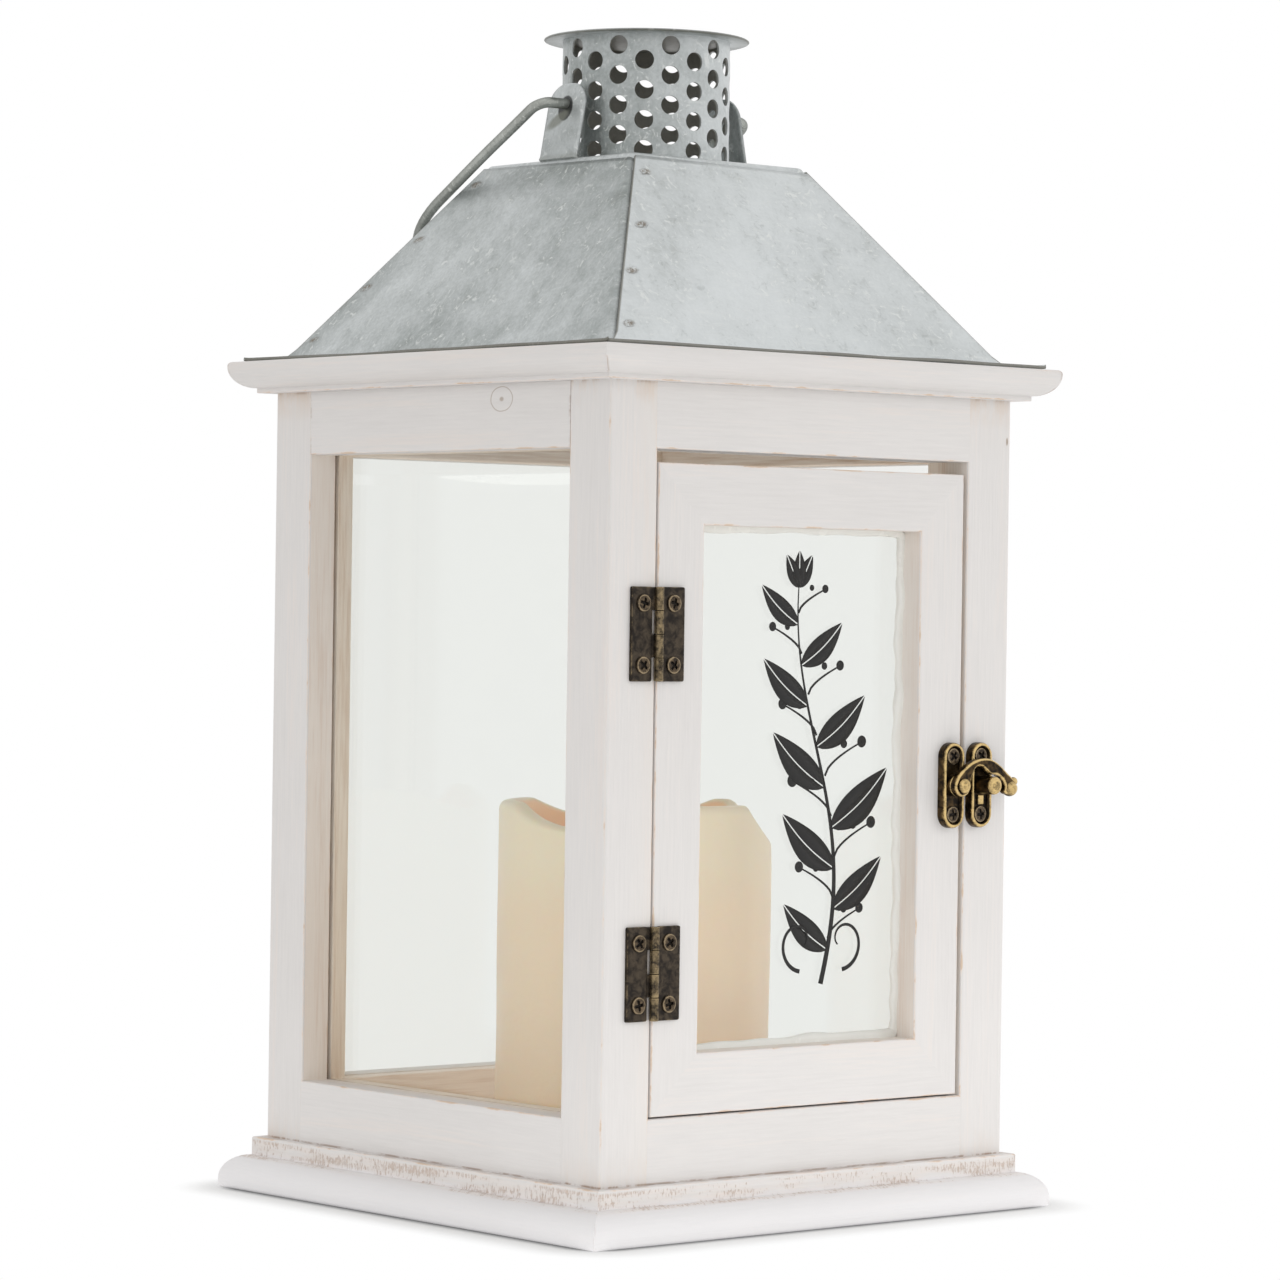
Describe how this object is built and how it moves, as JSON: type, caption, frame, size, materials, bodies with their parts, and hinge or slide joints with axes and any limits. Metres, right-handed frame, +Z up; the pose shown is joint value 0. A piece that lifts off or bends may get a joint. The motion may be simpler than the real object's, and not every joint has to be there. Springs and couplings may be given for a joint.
{
  "type": "candle lantern",
  "caption": "Square wooden candle lantern with a hinged glass door, hook latch, sheet-metal hip roof, perforated chimney, wire bail and a battery pillar candle.",
  "frame": {"origin": "centre of the underside of the base", "axes": "+Z up, the door is on the -Y side, its hinges are towards -X"},
  "size_m": [0.1592, 0.1592, 0.3107],
  "materials": {
    "washed_wood": "white-washed paint, rubbed through at the edges",
    "raw_wood": "bare, matt",
    "clear_glass": "clear float glass",
    "galvanised_sheet": "dull galvanised steel, mottled",
    "galvanised_wire": "dull galvanised steel wire",
    "sealant": "clear, glossy",
    "bronzed_hinge": "dark antique bronze",
    "bronzed_screw": "dark antique bronze, worn on the rims",
    "antique_brass": "antique brass, dark in the recesses",
    "wax": "satin wax",
    "ivory_plastic": "moulded, matt",
    "light_diffuser": "translucent, glossy",
    "cell_label": "plain glossy sleeve",
    "contact_plating": "nickel plated",
    "black_plastic": "moulded, matt"
  },
  "bodies": {
    "root": {"base_moulding_front": "washed_wood", "base_moulding_right": "washed_wood", "base_moulding_back": "washed_wood", "base_moulding_left": "washed_wood", "floor_board": "raw_wood", "post_front_left": "washed_wood", "post_front_right": "washed_wood", "post_back_right": "washed_wood", "post_back_left": "washed_wood", "bottom_rail_front": "washed_wood", "bottom_rail_right": "washed_wood", "bottom_rail_back": "washed_wood", "bottom_rail_left": "washed_wood", "top_rail_front": "washed_wood", "top_rail_right": "washed_wood", "top_rail_back": "washed_wood", "top_rail_left": "washed_wood", "pane_right": "clear_glass", "pane_back": "clear_glass", "pane_left": "clear_glass", "cornice_front": "washed_wood", "cornice_right": "washed_wood", "cornice_back": "washed_wood", "cornice_left": "washed_wood", "roof_panel_front": "galvanised_sheet", "roof_panel_right": "galvanised_sheet", "roof_panel_back": "galvanised_sheet", "roof_panel_left": "galvanised_sheet", "roof_top_plate": "galvanised_sheet", "chimney": "galvanised_sheet", "chimney_cap": "galvanised_sheet", "ear_left": "galvanised_sheet", "ear_right": "galvanised_sheet", "hinge_frame_leaf_top": "bronzed_hinge", "hinge_frame_leaf_bottom": "bronzed_hinge", "hinge_pins": "bronzed_hinge", "case_screws": "bronzed_screw", "latch_post_plate": "antique_brass"},
    "door": {"door_stile_hinge": "washed_wood", "door_stile_latch": "washed_wood", "door_rail_top": "washed_wood", "door_rail_bottom": "washed_wood", "door_pane": "clear_glass", "door_sealant": "sealant", "hinge_door_leaf_top": "bronzed_hinge", "hinge_door_leaf_bottom": "bronzed_hinge", "door_screws": "bronzed_screw", "latch_door_plate": "antique_brass", "latch_rivet": "antique_brass"},
    "latch_arm": {"latch_arm": "antique_brass"},
    "bail": {"bail_handle": "galvanised_wire"},
    "candle": {"candle_wax": "wax", "candle_housing": "ivory_plastic", "candle_light": "light_diffuser", "battery_cells": "cell_label", "battery_contacts": "contact_plating", "battery_cover": "ivory_plastic"},
    "candle_switch": {"candle_switch": "black_plastic"}
  },
  "joints": [
    {"name": "door_hinge", "type": "hinge", "parent": "root", "child": "door", "pos_m": [-0.05405, -0.0712, 0.0138], "axis": [0, 0, -1], "range_deg": [0, 165]},
    {"name": "latch_pivot", "type": "hinge", "parent": "door", "child": "latch_arm", "pos_m": [0.0485, -0.0739, 0.1125], "axis": [0, -1, 0], "range_deg": [0, 175]},
    {"name": "bail_pivot", "type": "hinge", "parent": "root", "child": "bail", "pos_m": [0, 0, 0.2913], "axis": [1, 0, 0], "range_deg": [0, 239]},
    {"name": "candle_lift", "type": "slide", "parent": "root", "child": "candle", "axis": [0, 0, 1], "range_m": [0, 0.06]},
    {"name": "candle_switch_slide", "type": "slide", "parent": "candle", "child": "candle_switch", "axis": [0, -1, 0], "range_m": [0, 0.003]}
  ]
}
